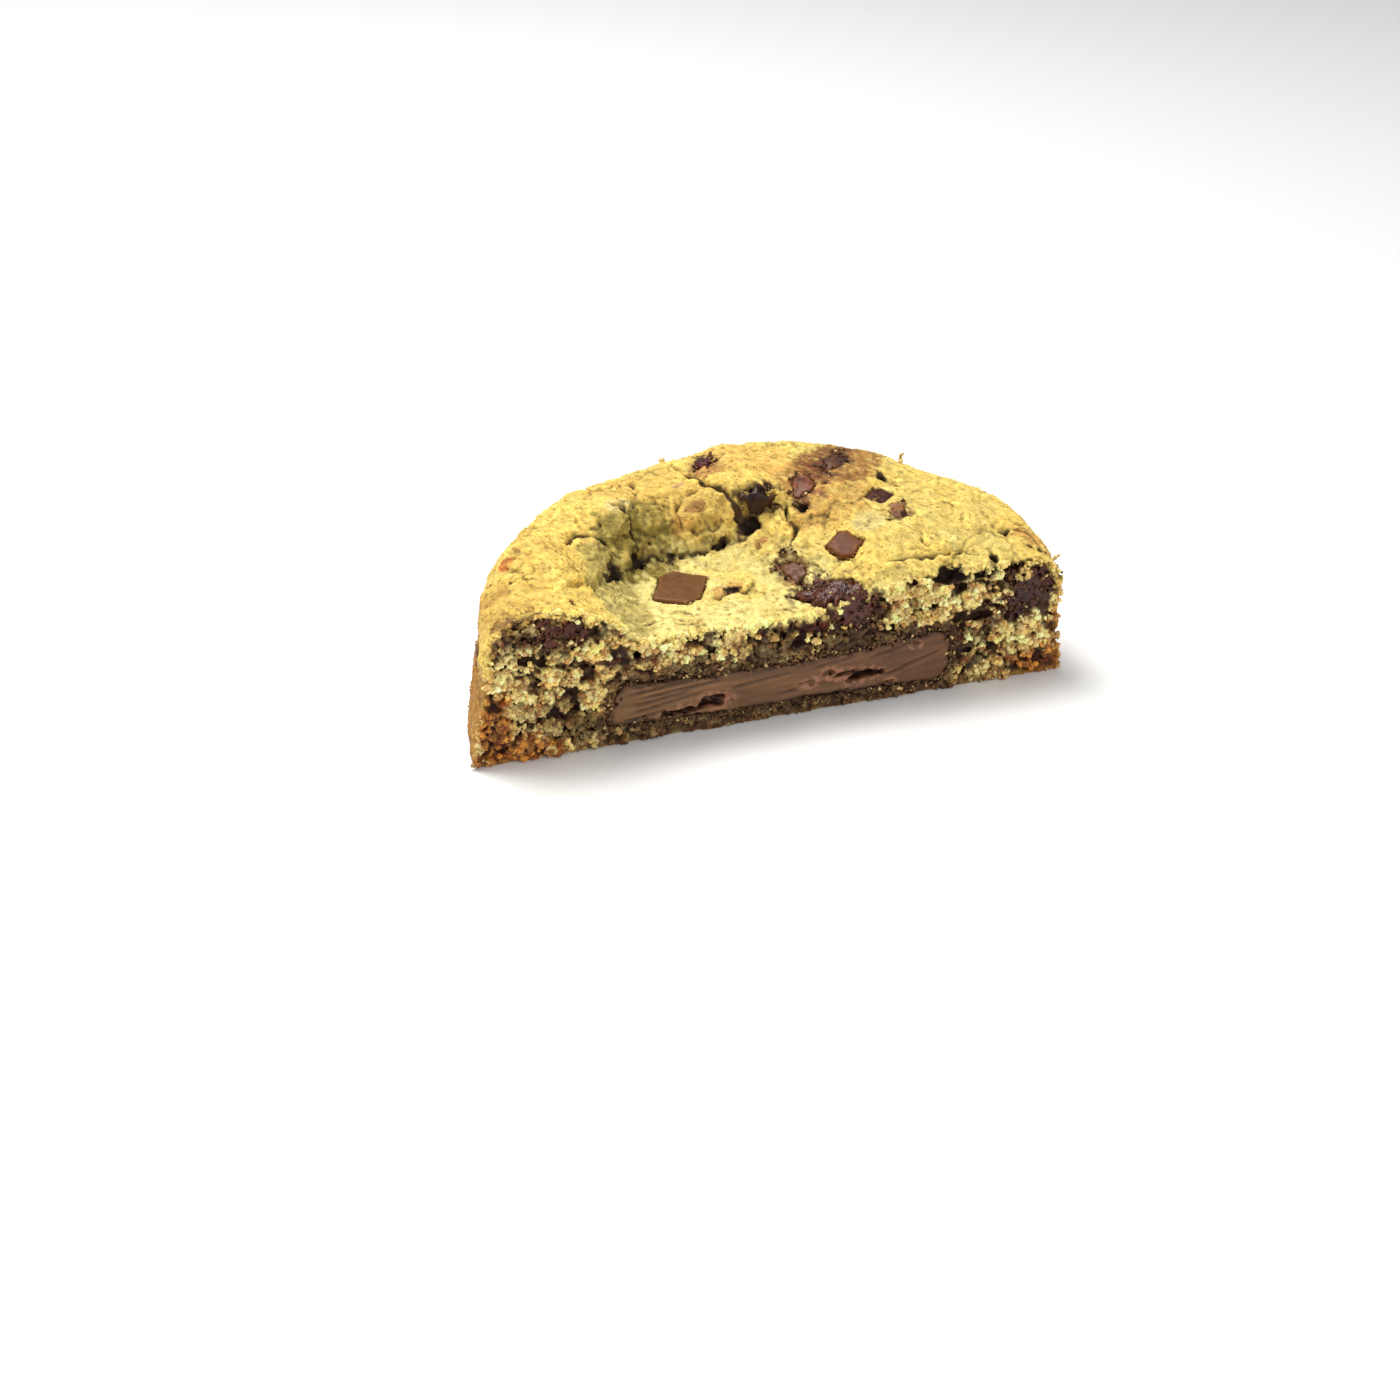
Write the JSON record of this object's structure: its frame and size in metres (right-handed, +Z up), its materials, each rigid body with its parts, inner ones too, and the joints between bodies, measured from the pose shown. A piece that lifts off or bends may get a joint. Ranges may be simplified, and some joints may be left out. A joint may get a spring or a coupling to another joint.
{
  "type": "chocolate chip cookie",
  "caption": "Half of a deep, round chocolate chip cookie, cut through to show its crumb and chocolate filling, lying on its flat base.",
  "frame": {"origin": "middle of the flat base, at the middle of its bounding box", "axes": "+X along the cut, +Y from the cut towards the baked side, +Z up"},
  "size_m": [0.0928, 0.0464, 0.0277],
  "materials": {
    "baked_dough": "matt, grainy baked crust, golden on top and sides, with pale torn crumb on the cut",
    "filling": "smooth, faintly waxy milk chocolate with drag lines from the knife",
    "chocolate_chunk": "dull milk chocolate with worn edges",
    "melted_chocolate": "dark, half-gloss chocolate that has run in the oven"
  },
  "bodies": {
    "root": {"chunk_middle": "chocolate_chunk", "chunk_pit": "chocolate_chunk", "chunk_right": "chocolate_chunk", "chunk_side_a": "chocolate_chunk", "chunk_side_b": "chocolate_chunk", "chunk_side_c": "chocolate_chunk", "chunk_side_d": "chocolate_chunk", "chunk_side_e": "chocolate_chunk", "chunk_side_f": "chocolate_chunk", "cookie": "baked_dough", "filling": "filling", "melt_back": "melted_chocolate", "melt_crack": "melted_chocolate", "melt_cut_left": "melted_chocolate", "melt_cut_right": "melted_chocolate", "melt_front": "melted_chocolate", "melt_rim": "melted_chocolate", "melt_slope": "melted_chocolate", "melt_speckled": "melted_chocolate", "melt_streak": "melted_chocolate"}
  },
  "joints": []
}
